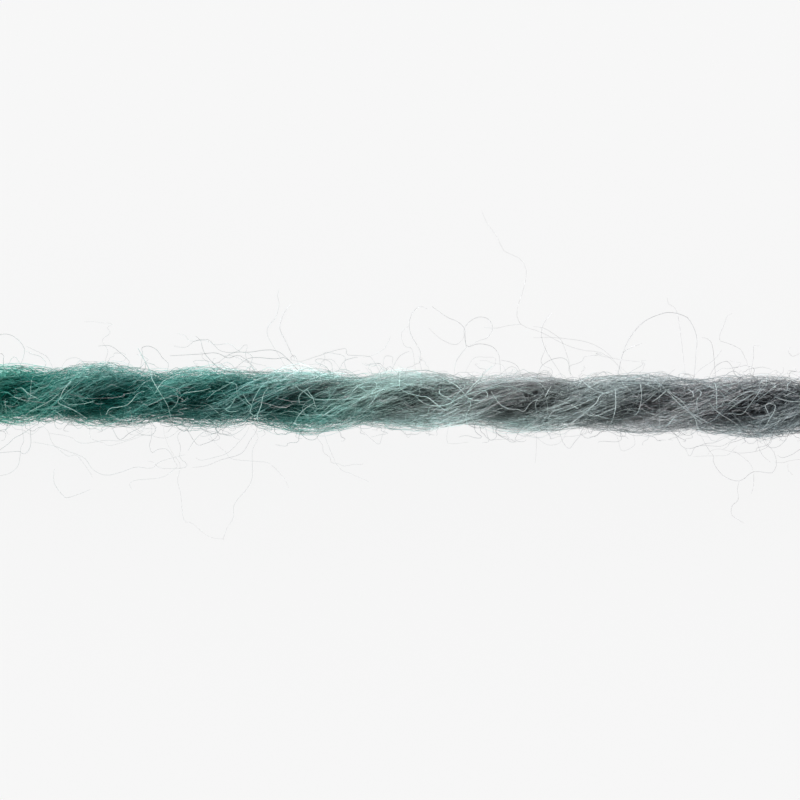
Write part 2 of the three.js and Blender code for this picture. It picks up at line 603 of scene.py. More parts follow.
# Fibres wound round a ply: each starts at its own place, turns at its own rate against the
# twist, waves in and out and sideways, sinks in the hollows and dips into the wool at both ends.
def plyFibres(ply, layer, seed):
    draw = Draw(seed, layer["count"])
    t = sharesAlong(layer)
    length = draw.even(*layer["length"])
    middle = draw.even(-half - 2.0, half + 2.0)
    endSlack = draw.even(-0.35, 0.15)
    start = np.clip(middle - length / 2, -half - endSlack, half - 0.5)
    stop = np.clip(middle + length / 2, -half + 0.5, half + endSlack)
    x = start + (stop - start) * t
    around = draw.even(-math.pi, math.pi) + draw.bell(spin["mean"], spin["spread"]) * (x - middle)
    around = around + draw.even(0.2, 1.4) * layer["crimp"] * draw.wave(x, 1.2, 2.6)
    around = around + draw.even(0.03, 0.16) * draw.wave(x, 2.6, 6.0)
    low, high = layer["reach"]
    reach = low + (high - low) * draw.even(0, 1) ** layer["thin"]
    reach = reach + layer["dive"] * draw.wave(x, 1.2, 3.2)
    lock, pull = locks(ply, x, around)
    around = around + layer["bunch"] * pull
    reach = reach + layer["locks"] * lock
    reach = reach + layer["loose"] * draw.even(0, 1) ** 4 * np.sin(math.pi * t) ** 2
    cut = (np.abs(x) > half - endDip["cutZone"]).any(axis=1, keepdims=True)
    dip = np.where(cut, 0.0, endDip["share"])
    reach = reach - dip * (1 - np.sin(math.pi * t)) ** 3
    paths = roundPly(ply, x, around, reach)
    angle = np.arctan2(paths[..., 2] - strand["axisHeight"], paths[..., 1] - axisY)
    hollow = hollowAt(x, angle)
    paths = roundPly(ply, x, around, reach - hollowSink * hollow * np.clip(reach - 0.4, 0, 1))

    taper = 0.35 + 0.65 * np.sin(math.pi * np.clip(t, 0.08, 0.92)) ** 0.5
    thick = draw.even(*layer["thick"]) * taper * np.clip(1.95 - 1.2 * reach, 0.42, 1.1)
    reference = acrossStrand(draw.even(0, math.tau))
    own = fleck["spread"] * draw.bell(0, 1) + fleck["pale"] * draw.even(0, 1) ** fleck["rarity"]
    draft = draw.bell(0, draftSpread["ply"]) + dyeSlant * (paths[..., 1] - axisY)
    # The tone carries painted shade and light besides the fibre's own tone.
    dye = dyeAndShadeOf(x, draft, woolToneAndShade(paths, own, lock, hollow))
    name = ("first", "second")[ply] + "_ply"
    return fibreMesh(name + "_" + layer["name"], paths, thick, reference, dye, woolOf[name])


fibrePieces = []
for ply in (0, 1):
    for number, layer in enumerate(plyLayers):
        fibrePieces.append(plyFibres(ply, layer, seeds["plies"] + 10 * ply + number))
print("ply fibres laid")

# The cut ends: short fibres side by side that fill both plies' cores
brush = {
    "count": 420, "steps": 3, "length": 0.9, "slack": 0.2, "reach": 0.64, "thick": (0.05, 0.07),
    "tone": (0.28, 0.12),
}


# Straight fibres over a disc: reach goes with the square root of an even draw.
def brushFibres(ply, end, seed):
    draw = Draw(seed, brush["count"])
    t = sharesAlong(brush)
    tip = half + draw.even(-brush["slack"], brush["slack"] / 2)
    x = end * (tip - brush["length"] * (1 - t))
    around = draw.even(-math.pi, math.pi) + spin["mean"] * (x - end * half)
    reach = brush["reach"] * draw.even(0, 1) ** 0.5 + 0 * t
    paths = roundPly(ply, x, around, reach)
    paler, spread = brush["tone"]
    # The cut ends' tone carries the same painted shade and light.
    tone = woolToneAndShade(paths, paler + spread * draw.bell(0, 1), 0, 0)
    thick = draw.even(*brush["thick"]) * (1 - 0.3 * t)
    return paths, thick, acrossStrand(draw.even(0, math.tau)), dyeAndShadeOf(x, 0.0, tone)


for ply in (0, 1):
    ends = [brushFibres(ply, end, seeds["cutEnds"] + 2 * ply + (end > 0)) for end in (-1, 1)]
    joined = [np.concatenate(parts) for parts in zip(*ends)]
    name = ("first", "second")[ply] + "_ply"
    fibrePieces.append(fibreMesh(name + "_cut_ends", *joined, woolOf[name]))
print("cut ends brushed")

# Loose wool that arches just off the strand and makes its soft edge
fringe = {
    "count": 1000, "steps": 14, "length": (1.0, 3.4), "height": (-0.1, 0.32), "sunk": 0.40,
    "thick": (0.008, 0.015), "tone": (0.5, 0.25),
}


# Arches round the whole strand: each rises from the wool and comes back to it, leaning along
# the strand, with a wave on the way.
def fringeFibres(seed):
    draw = Draw(seed, fringe["count"])
    t = sharesAlong(fringe)
    length = draw.even(*fringe["length"])
    middle = draw.even(-half + 1, half - 1)
    x = np.clip(middle + length * (t - 0.5), -half - 0.2, half + 0.2)
    angle = draw.even(0, math.tau) + draw.bell(-0.25, 0.45) * (x - middle)
    angle = angle + 0.07 * draw.wave(t, 0.3, 1.2)
    low, high = fringe["height"]
    height = low + (high - low) * draw.even(0, 1) ** 1.6
    rise = np.sin(math.pi * t) ** draw.even(0.6, 1.6) * (1 + 0.25 * draw.wave(t, 0.3, 1))
    lift = -fringe["sunk"] + (height + fringe["sunk"] * 0.8) * rise
    paths = roundStrand(x, angle, lift)
    reference = acrossStrand(draw.even(0, math.tau))
    dye = dyeAndShadeOf(x, draw.bell(0, draftSpread["hair"]), draw.bell(*fringe["tone"]))
    thick = draw.even(*fringe["thick"])
    return fibreMesh("fringe", paths, thick, reference, dye, woolOf["surface_hair"])


fibrePieces.append(fringeFibres(seeds["fringe"]))
print("fringe laid")

# Hairs that wander over the strand. heading is from the strand's length, rising to the right.
wandering = [
    {
        "name": "down", "wool": "down", "count": 4500, "steps": 8, "length": (0.7, 2.2),
        "heading": (0.35, 0.45), "curl": 1.2, "waves": (0.1, 0.5), "depth": (-0.34, 0.12),
        "thick": (0.010, 0.017), "tone": (0.6, 0.25), "shaded": 1.0,
    },
    {
        "name": "crossing_hairs", "wool": "surface_hair", "count": 440, "steps": 18,
        "length": (0.8, 3.2), "heading": (0.45, 0.7), "curl": 1.8, "waves": (0.2, 0.7),
        "depth": (-0.18, 0.04), "thick": (0.015, 0.024), "tone": (0.55, 0.25), "shaded": 0.4,
    },
]


# Wandering lines on the strand's outside: the heading turns by a few slow sines, and its sum
# gives the steps along the strand and round it. Both ends dip into the wool.
def wanderingHairs(kind, seed):
    draw = Draw(seed, kind["count"])
    t = sharesAlong(kind)
    length = draw.even(*kind["length"])
    heading = draw.bell(*kind["heading"]) + draw.even(-kind["curl"], kind["curl"]) * t
    heading = heading + draw.even(*kind["waves"]) * draw.wave(t, 0.4, 1.2)
    heading = heading + 0.5 * draw.even(*kind["waves"]) * draw.wave(t, 0.2, 0.45)
    stride = length / (kind["steps"] - 1)
    x = draw.even(-half, half) + np.cumsum(np.cos(heading) * stride, axis=1)
    x = half * np.sin(np.clip(x / half, -1, 1) * math.pi / 2)
    angle = draw.even(0, math.tau) - np.cumsum(np.sin(heading) * stride, axis=1) / 1.05
    lift = draw.even(*kind["depth"]) - 0.12 * (1 - np.sin(math.pi * t) ** 0.5)
    lift = lift + 0.03 * draw.wave(t, 0.3, 1)
    paths = roundStrand(x, angle, lift)
    reference = acrossStrand(angle.mean(axis=1, keepdims=True) + 0.001)
    # Painted shade in the grooves and hollows, taken off the hairs' tone by their share shaded.
    paintedShade = toneAndShadeOf["groove"] * grooveShadeAt(x, angle) + toneAndShadeOf["hollow"] * hollowAt(x, angle)
    draft = draw.bell(0, draftSpread["hair"])
    dye = dyeAndShadeOf(x, draft, draw.bell(*kind["tone"]) - kind["shaded"] * paintedShade)
    thick = draw.even(*kind["thick"])
    return fibreMesh(kind["name"], paths, thick, reference, dye, woolOf[kind["wool"]])


for number, kind in enumerate(wandering):
    fibrePieces.append(wanderingHairs(kind, seeds["wandering"] + number))
print("surface hairs laid")

# The halo: thin hairs that stand off the strand in arcs, kinks and loops
haloKinds = [
    {
        "name": "near_hairs", "count": 860, "steps": 15, "length": (0.7, 2.4), "curl": 3.8,
        "waves": (0.3, 1.2), "thick": (0.010, 0.018), "mostOut": 0.95,
    },
    {
        "name": "far_hairs", "count": 36, "steps": 36, "length": (2.5, 7.0), "curl": 3.5,
        "waves": (0.3, 1.1), "thick": (0.007, 0.012), "mostOut": 2.4,
    },
]
haloTone = (0.2, 0.1)  # at the root
haloPaler = 1.5  # added for each mm out from the strand


# Each hair lies near a plane of its own through its root. Its heading there turns by slow sines,
# and its sum gives the hair's line. The line is drawn back as it gets far from the strand.
def haloHairs(kind, seed):
    draw = Draw(seed, kind["count"])
    t = sharesAlong(kind)
    low, high = kind["length"]
    length = low + (high - low) * draw.even(0, 1) ** 1.5
    heading = math.pi / 2 + draw.bell(0, 0.9) + draw.even(-kind["curl"], kind["curl"]) * t
    heading = heading + draw.even(*kind["waves"]) * draw.wave(t, 0.5, 1.4)
    heading = heading + 0.6 * draw.even(*kind["waves"]) * draw.wave(t, 0.18, 0.45)
    stride = length / (kind["steps"] - 1)
    along = np.cumsum(np.cos(heading) * stride, axis=1)
    out = np.cumsum(np.sin(heading) * stride, axis=1)
    out = kind["mostOut"] * np.tanh(out / kind["mostOut"])

    rootX = draw.even(-half + 0.3, half - 0.3)
    angle = draw.even(0, math.tau)
    sideways = 0.08 * length * draw.wave(t, 0.6, 2.5)
    sideways = sideways - sideways[:, :1]
    root = outlineReach(rootX, angle) - 0.2
    x = np.clip(rootX + along, -half - 2, half + 2)
    y = axisY + (root + out) * np.cos(angle) - sideways * np.sin(angle)
    z = strand["axisHeight"] + (root + out) * np.sin(angle) + sideways * np.cos(angle)
    paths = pointsOf(x, y, z)
    thick = draw.even(*kind["thick"]) * (1 - 0.5 * t**3)
    reference = acrossStrand(angle + math.pi / 2)
    draft = draw.bell(0, draftSpread["hair"])
    dye = dyeAndShadeOf(x, draft, draw.bell(*haloTone) + haloPaler * np.clip(out, 0, 0.5))
    return fibreMesh(kind["name"], paths, thick, reference, dye, woolOf["stray_hair"])


for number, kind in enumerate(haloKinds):
    fibrePieces.append(haloHairs(kind, seeds["halo"] + number))
print("halo made")

# Single hairs that show in the photo, placed one by one: the faint and the bold ones of the halo,
# and the pale ones that cross the strand. Each line has a few points (x, y) as seen from above,
# with y from the strand's axis.
faintLines = [
    [(3.18, 7.75), (3.44, 7.19), (3.76, 6.8), (4.0, 6.32), (4.16, 6.08), (4.8, 5.79), (5.04, 5.29),
     (4.92, 4.57), (4.66, 3.69), (4.82, 3.12), (5.6, 2.84), (6.56, 2.36), (7.28, 2.13),
     (8.08, 2.02), (8.8, 1.47), (9.3, 1.0)],
    [(1.12, 2.92), (1.44, 2.6), (1.84, 2.36), (2.2, 2.27), (2.44, 2.46), (2.56, 2.7)],
    [(0.34, 3.0), (0.06, 2.76), (0.03, 2.5), (0.17, 2.17), (0.46, 2.03), (0.6, 1.2)],
    [(5.28, 3.03), (5.68, 2.98), (6.04, 2.78), (6.36, 2.55), (6.54, 2.2), (6.76, 1.56)],
    [(5.32, 2.6), (6.24, 2.62), (7.5, 2.45), (8.32, 2.0), (8.9, 1.2)],
    [(3.36, 3.0), (3.84, 2.98), (4.32, 3.09), (4.82, 3.15)],
    [(2.56, 1.1), (2.92, 1.73), (3.44, 1.78), (3.76, 1.76), (3.78, 1.5), (3.5, 1.1)],
    [(10.74, 4.32), (10.8, 4.06), (11.0, 3.95), (11.14, 3.7), (11.22, 3.2), (11.28, 2.6),
     (11.4, 1.2)],
    [(13.2, 3.67), (13.0, 3.53), (12.92, 3.25), (12.76, 2.89), (12.74, 2.6), (13.03, 2.49),
     (13.36, 2.36), (13.63, 2.17), (13.94, 1.47), (13.96, 1.0)],
    [(14.48, 2.38), (14.34, 2.42), (14.2, 2.37), (14.16, 1.88), (14.06, 1.48), (13.96, 1.0)],
    [(12.8, 2.21), (12.56, 1.88), (12.34, 1.68), (12.0, 1.45), (11.7, 1.1)],
    [(15.6, 2.37), (15.54, 2.19), (15.72, 2.0), (16.1, 2.2)],
    [(-4.92, 4.43), (-5.0, 4.15), (-4.92, 3.83), (-5.04, 3.27), (-5.28, 2.99), (-5.38, 2.67),
     (-5.24, 2.31), (-4.6, 1.3)],
    [(-0.4, 2.56), (-0.6, 2.14), (-0.84, 1.93), (-1.14, 1.78), (-1.5, 1.7)],
    [(-3.3, 1.1), (-3.14, 1.49), (-2.92, 1.6), (-2.68, 1.55), (-2.4, 1.2)],
    [(-15.0, 1.95), (-14.52, 1.73), (-14.16, 1.53), (-13.9, 1.1)],
    [(-13.55, 1.1), (-13.36, 1.42), (-13.04, 1.52), (-12.76, 1.43), (-12.5, 1.1)],
    [(-16.2, -3.25), (-15.6, -3.17), (-15.28, -3.0), (-15.1, -2.7), (-15.07, -2.1), (-14.98, -1.8),
     (-15.14, -1.1)],
    [(-14.68, -1.88), (-13.88, -2.02), (-13.44, -2.18), (-12.64, -2.49), (-12.3, -2.96),
     (-11.76, -3.18), (-11.04, -3.0), (-10.56, -2.83), (-9.92, -2.87), (-9.6, -2.6), (-8.6, -2.3)],
    [(-14.4, -1.2), (-14.08, -1.43), (-13.92, -1.91), (-13.36, -2.42), (-12.96, -2.41),
     (-12.48, -3.04), (-12.36, -3.28)],
    [(-14.04, -1.51), (-13.2, -1.65), (-12.72, -1.9), (-11.76, -1.77), (-11.2, -1.78),
     (-10.72, -1.66), (-10.0, -1.2)],
    [(-9.44, -1.2), (-9.4, -1.6), (-9.12, -2.23), (-8.8, -2.7), (-8.92, -3.35), (-8.8, -3.91),
     (-8.68, -4.95), (-8.32, -5.1), (-7.68, -5.61), (-7.04, -5.72)],
    [(-6.96, -5.64), (-6.8, -5.16), (-6.56, -4.76), (-6.52, -4.2), (-5.88, -3.31), (-5.86, -2.11),
     (-5.64, -1.54), (-5.96, -1.1)],
    [(-7.8, -1.2), (-7.36, -1.81), (-6.96, -2.16), (-6.68, -2.44), (-5.68, -2.53), (-5.2, -2.6),
     (-4.64, -3.13), (-4.42, -3.56)],
    [(-8.08, -2.38), (-7.88, -2.49), (-7.36, -2.37), (-6.8, -2.16), (-6.2, -1.51), (-6.0, -1.1)],
    [(-10.64, -3.76), (-10.76, -3.5), (-10.48, -3.34), (-9.44, -3.2), (-8.84, -2.75)],
    [(-13.84, -2.95), (-13.86, -3.5), (-13.52, -4.02), (-13.28, -4.1), (-12.4, -3.77)],
    [(-3.1, -1.1), (-2.84, -1.82), (-2.4, -2.7), (-1.84, -2.97), (-1.2, -3.24)],
    [(-1.6, -1.15), (-1.2, -1.48), (-0.82, -1.75), (-0.68, -1.39), (-0.5, -1.0)],
    [(0.2, -1.1), (0.28, -1.42), (0.38, -1.46), (0.46, -1.3), (0.44, -1.0)],
    [(1.96, -1.0), (1.9, -1.35), (1.92, -1.63), (2.12, -1.7), (2.8, -1.62)],
    [(3.92, -1.25), (4.32, -1.5), (4.8, -1.49), (5.2, -1.31), (5.6, -1.44)],
    [(5.24, -1.2), (5.84, -1.65), (6.24, -1.67), (6.48, -1.52), (6.7, -1.15)],
    [(5.48, -1.2), (5.48, -1.8), (5.44, -2.42)],
    [(8.6, -1.15), (8.76, -1.44), (8.92, -1.88), (9.27, -1.77), (9.44, -1.56), (9.3, -1.1)],
    [(11.72, -2.07), (12.2, -2.03), (12.67, -2.02), (13.12, -1.97), (13.47, -1.6)],
    [(13.6, -3.0), (13.52, -3.37), (13.56, -3.76), (13.32, -4.02), (13.32, -4.38), (13.8, -4.69)],
    [(14.1, -2.69), (14.07, -3.17), (13.96, -3.48)],
    [(13.2, -1.75), (13.47, -1.89), (13.72, -2.07), (14.0, -2.33), (14.12, -2.65)],
    [(15.07, -2.25), (15.4, -2.27), (15.72, -2.18), (16.3, -2.1)],
    [(15.47, -2.27), (15.47, -2.55), (15.64, -2.72)],
    [(14.27, -1.2), (14.4, -1.67), (14.6, -2.01), (14.92, -2.26)],
]
boldLines = [
    [(1.2, 3.76), (1.84, 3.33), (2.24, 3.17), (2.52, 2.9), (2.56, 2.54), (2.64, 2.18), (3.04, 2.3),
     (3.44, 2.27), (3.72, 2.15), (3.92, 1.88), (3.98, 1.44), (4.04, 1.0)],
    [(2.64, 2.18), (2.54, 2.86), (2.68, 3.14), (2.92, 3.34), (3.2, 3.43), (3.52, 3.35), (3.7, 3.07),
     (3.64, 2.79), (3.44, 2.55), (3.16, 2.47), (2.8, 2.26)],
    [(1.04, 3.72), (0.76, 3.8), (0.52, 3.63), (0.36, 3.31), (0.34, 2.91), (0.44, 2.59), (0.8, 1.95),
     (0.76, 1.67), (0.9, 1.0)],
    [(6.08, 3.61), (5.88, 3.39), (5.72, 3.11), (5.66, 2.67), (5.8, 2.19), (6.04, 1.75),
     (6.28, 1.39), (6.5, 1.0)],
    [(5.5, 1.1), (5.64, 1.46), (6.0, 1.71), (6.4, 1.8), (6.68, 1.65), (6.8, 1.1)],
    [(2.16, 1.1), (2.2, 1.5), (2.32, 1.77), (2.64, 2.18)],
    [(4.0, 1.68), (4.48, 1.57), (4.72, 1.37), (4.86, 1.0)],
    [(8.7, 1.1), (8.86, 1.82), (9.16, 2.56), (9.76, 3.29), (10.52, 3.67), (10.96, 3.72),
     (11.36, 3.63), (11.68, 3.42), (11.94, 2.75), (11.88, 2.06), (11.76, 1.1)],
    [(9.68, 2.44), (9.48, 2.36), (9.2, 2.24), (8.96, 2.08), (8.84, 1.8), (8.7, 1.2)],
    [(11.94, 2.67), (12.16, 2.63), (12.36, 2.43), (12.48, 1.88), (12.6, 1.1)],
    [(12.3, 1.0), (12.52, 1.49), (12.86, 1.73), (13.14, 1.67), (13.5, 1.0)],
    [(-16.4, 2.3), (-16.0, 2.42), (-15.68, 2.41), (-15.36, 2.23), (-15.12, 1.96), (-15.06, 1.68),
     (-15.24, 1.0)],
    [(-12.08, 2.0), (-11.6, 2.01), (-11.2, 1.74), (-10.88, 1.46), (-10.84, 1.34), (-11.0, 1.0)],
    [(-10.4, 1.1), (-10.32, 1.71), (-10.36, 1.95), (-10.08, 2.03), (-9.76, 1.88), (-9.52, 1.56),
     (-9.28, 1.33), (-9.34, 1.0)],
    [(-9.08, 2.05), (-8.88, 2.01), (-8.56, 2.01), (-8.32, 2.22), (-8.0, 2.32), (-7.68, 2.31),
     (-7.44, 2.08), (-7.2, 1.88), (-6.8, 1.82), (-6.48, 1.9), (-6.24, 2.15), (-6.12, 2.08),
     (-6.2, 1.8), (-6.08, 1.48), (-5.36, 1.3)],
    [(-8.2, 2.45), (-8.0, 2.26), (-7.92, 1.98), (-7.76, 1.67), (-7.2, 1.1)],
    [(-9.2, 1.65), (-8.0, 1.74), (-7.36, 1.79), (-6.88, 1.6), (-6.4, 1.69), (-5.7, 1.1)],
    [(-7.3, 1.4), (-6.72, 1.8), (-6.0, 1.85), (-5.44, 1.94), (-4.96, 1.91), (-4.56, 1.64),
     (-3.9, 0.95)],
    [(-6.6, 1.2), (-6.0, 1.61), (-5.04, 1.59), (-4.64, 1.64), (-4.32, 1.4), (-3.95, 0.95)],
    [(-4.5, 3.79), (-4.72, 3.47), (-4.88, 2.99), (-4.84, 2.71), (-4.64, 2.35), (-4.36, 1.78),
     (-4.24, 1.66), (-4.26, 1.56), (-4.38, 1.56), (-4.4, 1.68), (-4.3, 1.75), (-4.2, 1.68),
     (-3.9, 1.0)],
    [(-4.26, 1.53), (-3.94, 1.51), (-3.32, 1.72), (-2.64, 1.95), (-2.28, 2.03), (-2.14, 2.02),
     (-2.17, 1.85), (-2.08, 1.78), (-1.37, 1.75), (-1.14, 1.66), (-0.8, 1.1)],
    [(-2.5, 1.1), (-2.28, 1.52), (-2.0, 1.66), (-1.72, 1.71)],
    [(-0.68, 1.4), (-0.66, 1.67), (-0.57, 1.77), (-0.32, 1.73), (-0.34, 1.45)],
    [(-0.4, 1.1), (-0.12, 1.67), (0.12, 1.88), (0.34, 1.97)],
    [(-16.2, -2.3), (-15.76, -2.02), (-15.44, -1.73), (-15.12, -1.56), (-14.4, -1.1)],
    [(-16.2, -2.34), (-15.6, -2.29), (-15.2, -2.26), (-15.04, -2.36), (-14.84, -2.23),
     (-14.74, -1.92), (-14.76, -1.52), (-14.8, -1.0)],
    [(-11.52, -1.2), (-11.2, -1.72), (-10.8, -1.46), (-10.4, -1.25), (-10.0, -1.0)],
    [(-9.9, -1.1), (-9.88, -1.6), (-9.94, -1.92), (-9.82, -2.22), (-9.6, -2.09), (-9.32, -2.06),
     (-9.12, -2.19), (-8.96, -2.47), (-8.8, -2.72)],
    [(-8.56, -1.15), (-8.32, -1.58), (-8.08, -1.9), (-7.84, -1.86), (-7.52, -1.73), (-7.28, -1.49),
     (-7.36, -1.05)],
    [(-8.48, -2.15), (-8.16, -1.66), (-7.68, -1.33), (-6.72, -1.48), (-6.0, -1.0)],
    [(-4.1, -1.25), (-3.76, -1.55), (-3.52, -1.63), (-3.32, -1.55), (-3.1, -1.15)],
    [(3.44, -1.05), (3.56, -1.46), (3.72, -1.53), (3.88, -1.37), (3.84, -1.0)],
    [(6.4, -1.1), (6.52, -1.52), (6.8, -1.82), (7.04, -1.52), (7.4, -1.1)],
    [(7.52, -1.4), (7.8, -1.3), (8.3, -1.0)],
    [(11.0, -1.1), (11.32, -1.64), (11.67, -1.76), (12.27, -1.55), (12.67, -1.48), (13.4, -1.1)],
    [(11.47, -1.73), (11.7, -2.07), (11.92, -1.67), (12.6, -1.64), (12.92, -1.64), (13.27, -1.43),
     (13.9, -1.05)],
    [(12.0, -1.15), (12.4, -1.84), (12.56, -1.99), (12.56, -2.3), (12.96, -2.82), (13.6, -3.01),
     (14.07, -2.67), (14.4, -2.63), (14.87, -2.68), (15.0, -2.55), (15.07, -2.27), (14.96, -1.82),
     (14.72, -1.56), (14.5, -1.1)],
    [(15.07, -1.95), (15.27, -2.05), (15.6, -1.94), (15.87, -1.78), (16.3, -1.5)],
    [(14.45, -1.1), (14.67, -1.55), (14.92, -1.67), (15.2, -1.61), (15.47, -1.34), (15.6, -1.0)],
]
crossingLines = [
    [(-10.52, 1.95), (-10.24, 1.47), (-9.84, 0.73), (-9.57, 0.32), (-9.2, -0.28), (-9.12, -0.59),
     (-9.1, -0.85)],
    [(-9.66, 0.14), (-9.54, 0.4), (-9.34, 0.65), (-9.0, 0.8)],
    [(-8.97, 0.29), (-8.77, 0.03), (-8.84, -0.27), (-9.14, -0.57), (-9.54, -0.72), (-10.0, -0.69),
     (-10.52, -0.77), (-11.1, -0.9)],
    [(-11.64, -0.75), (-11.48, -0.49), (-11.14, -0.42), (-10.8, -0.34), (-10.57, -0.14),
     (-10.37, 0.12), (-10.1, 0.22)],
    [(-13.12, -0.37), (-12.52, -0.31), (-12.06, -0.18)],
    [(-13.0, 0.57), (-13.26, 0.23), (-13.4, -0.09), (-13.48, -0.29), (-13.14, -0.45),
     (-12.8, -0.63), (-12.45, -0.9)],
    [(-14.06, -0.54), (-13.8, -0.52), (-13.56, -0.65), (-13.32, -0.92)],
    [(-14.97, -0.92), (-14.57, -0.62), (-14.12, -0.39), (-13.72, -0.15), (-13.4, 0.12)],
    [(-15.26, 0.24), (-14.97, 0.28), (-14.68, 0.06), (-14.2, -0.18)],
    [(-8.57, 0.15), (-8.24, 0.22), (-7.84, 0.28), (-7.5, 0.38)],
    [(-7.68, -0.09), (-7.33, 0.24), (-7.0, 0.42), (-6.6, 0.68)],
    [(-6.48, 0.03), (-6.68, -0.3), (-6.88, -0.45), (-6.68, -0.54), (-6.4, -0.5)],
    [(-6.2, 0.18), (-6.0, -0.14), (-5.84, -0.3), (-5.92, -0.51), (-5.8, -0.67), (-5.64, -0.7),
     (-5.92, -1.1)],
    [(-5.6, -1.1), (-5.64, -0.7), (-5.48, -0.26), (-5.4, 0.14), (-5.2, 0.44)],
    [(-5.84, -0.2), (-5.73, 0.06), (-5.53, 0.41), (-5.28, 0.67), (-5.0, 0.95)],
    [(-5.73, -0.06), (-5.33, 0.11), (-4.93, 0.28), (-4.53, 0.45), (-4.2, 0.59), (-3.97, 0.36),
     (-3.8, 0.3), (-3.48, 0.05), (-3.08, -0.01), (-2.0, 0.04), (-1.4, 0.1), (-0.9, 0.18)],
    [(-3.7, 0.41), (-3.56, 0.21), (-3.44, 0.05), (-3.33, -0.3)],
    [(-3.97, -0.16), (-4.0, 0.09), (-3.8, 0.33), (-3.28, 0.65)],
    [(-4.2, -1.0), (-4.0, -0.64), (-3.73, -0.36), (-3.4, -0.16)],
    [(-3.08, -0.67), (-2.85, -0.52), (-2.5, -0.25)],
    [(-1.9, 0.31), (-1.65, 0.57), (-1.4, 0.68), (-1.05, 0.73), (-0.4, 0.64)],
    [(-1.65, 0.56), (-1.4, 0.4), (-1.1, 0.3), (-0.92, 0.16), (-1.1, -0.07)],
    [(-1.36, -0.3), (-1.1, -0.08), (-0.96, 0.16), (-0.7, 0.43), (-0.5, 0.6)],
    [(-0.02, 1.19), (-0.02, 0.83), (-0.02, 0.53), (0.24, 0.33), (0.8, 0.19), (1.08, 0.15),
     (1.4, -0.08), (1.7, -0.3), (2.0, -0.39), (2.3, -0.25)],
    [(0.24, 0.33), (0.6, 0.19), (0.8, 0.0), (1.1, -0.15), (1.44, -0.18), (1.84, -0.13),
     (2.15, 0.03), (2.55, 0.24), (3.2, 0.45), (3.44, 0.38), (3.42, 0.13), (3.1, 0.03), (2.75, 0.11),
     (2.55, 0.24)],
    [(1.3, 1.24), (1.5, 1.02), (1.84, 0.83), (2.24, 0.62), (2.6, 0.24)],
    [(2.55, 0.24), (2.8, 0.56), (3.1, 0.87), (3.44, 1.23), (3.7, 1.45)],
    [(2.6, 0.3), (3.0, 0.66), (3.4, 0.87)],
    [(1.55, 0.4), (1.6, 0.28), (1.84, 0.16), (2.1, 0.01)],
    [(2.5, -0.14), (2.7, 0.02), (2.8, -0.06), (2.75, -0.28), (2.62, -0.58), (2.72, -1.0)],
    [(2.62, -0.58), (2.84, -0.68), (3.1, -0.88), (3.4, -1.05)],
    [(1.95, -0.6), (2.24, -0.65), (2.55, -0.54), (3.2, -0.44)],
    [(3.6, 0.41), (3.92, -0.05), (4.27, -0.25), (4.67, -0.28), (4.92, -0.35), (5.16, -0.03),
     (5.6, 0.23)],
    [(3.12, 0.47), (3.67, 0.64), (4.07, 0.78), (4.67, 0.85)],
    [(5.92, -0.82), (5.9, -0.56), (6.07, -0.33), (6.52, -0.19)],
    [(5.72, 0.21), (5.85, 0.45), (6.0, 0.67)],
    [(6.27, 0.11), (6.8, -0.08), (7.27, -0.37), (7.73, -0.5), (8.13, -0.33), (8.7, -0.1)],
    [(7.27, 0.83), (7.67, 0.53), (8.13, 0.42), (8.6, 0.56)],
    [(8.5, 0.6), (8.53, 0.08), (8.5, -0.38), (8.36, -0.95)],
    [(6.87, -0.75), (7.27, -0.4), (7.73, 0.02), (7.93, 0.34), (8.53, 0.58), (9.0, 0.69)],
    [(9.52, 0.78), (9.56, 0.24), (9.4, -0.37), (9.0, -0.58), (8.53, -0.62), (8.0, -0.54),
     (7.5, -0.38)],
    [(10.58, 0.56), (10.8, 0.27), (11.08, -0.01), (11.36, -0.24), (11.64, -0.48), (12.0, -0.75)],
    [(10.62, 0.6), (10.8, 0.38), (11.08, 0.19), (11.28, -0.05), (11.48, -0.29), (11.72, -0.44),
     (12.2, -0.7)],
    [(10.56, 0.56), (10.27, 0.3), (10.0, 0.1)],
    [(11.12, -0.28), (10.88, -0.45), (10.68, -0.73), (10.5, -0.95)],
    [(11.6, -0.4), (11.76, -0.72), (11.84, -0.88), (12.2, -1.15)],
    [(11.4, 0.62), (11.56, 0.51), (11.6, 0.3)],
    [(11.68, 0.67), (11.84, 0.57), (11.9, 0.45), (11.74, 0.23), (11.72, -0.01), (11.78, -0.25),
     (11.74, -0.45)],
    [(12.48, 0.88), (12.51, 0.52), (12.5, 0.24), (12.5, -0.1)],
    [(12.2, 0.1), (12.44, -0.17), (12.76, -0.39), (13.08, -0.56), (13.36, -0.74), (13.5, -0.9),
     (13.52, -1.15)],
    [(12.4, -0.19), (12.68, -0.01), (12.76, 0.13), (12.8, 0.3)],
    [(12.96, 0.05), (13.2, 0.25), (13.48, 0.43), (13.8, 0.56), (14.3, 0.49)],
    [(13.0, -0.17), (13.28, 0.05), (13.6, 0.25), (13.88, 0.43), (14.2, 0.52)],
    [(12.8, -0.39), (12.96, -0.31), (13.52, -0.34), (13.72, -0.14), (13.88, 0.11), (14.12, 0.43),
     (14.28, 0.67), (14.48, 0.85), (14.9, 0.88)],
    [(14.66, -0.48), (14.48, -0.12), (14.44, 0.0), (14.56, 0.1), (14.72, 0.08), (14.84, 0.0),
     (14.78, -0.24), (14.64, -0.48), (14.48, -0.8), (14.2, -1.05)],
    [(14.84, 0.36), (15.2, 0.24), (15.56, 0.19), (16.0, 0.18)],
    [(15.2, 0.38), (15.44, 0.51), (15.7, 0.6)],
    [(14.8, -0.52), (15.08, -0.35), (15.4, -0.27), (15.8, -0.17)],
    [(15.4, -0.87), (15.56, -0.71), (15.8, -0.67), (16.1, -0.7)],
]
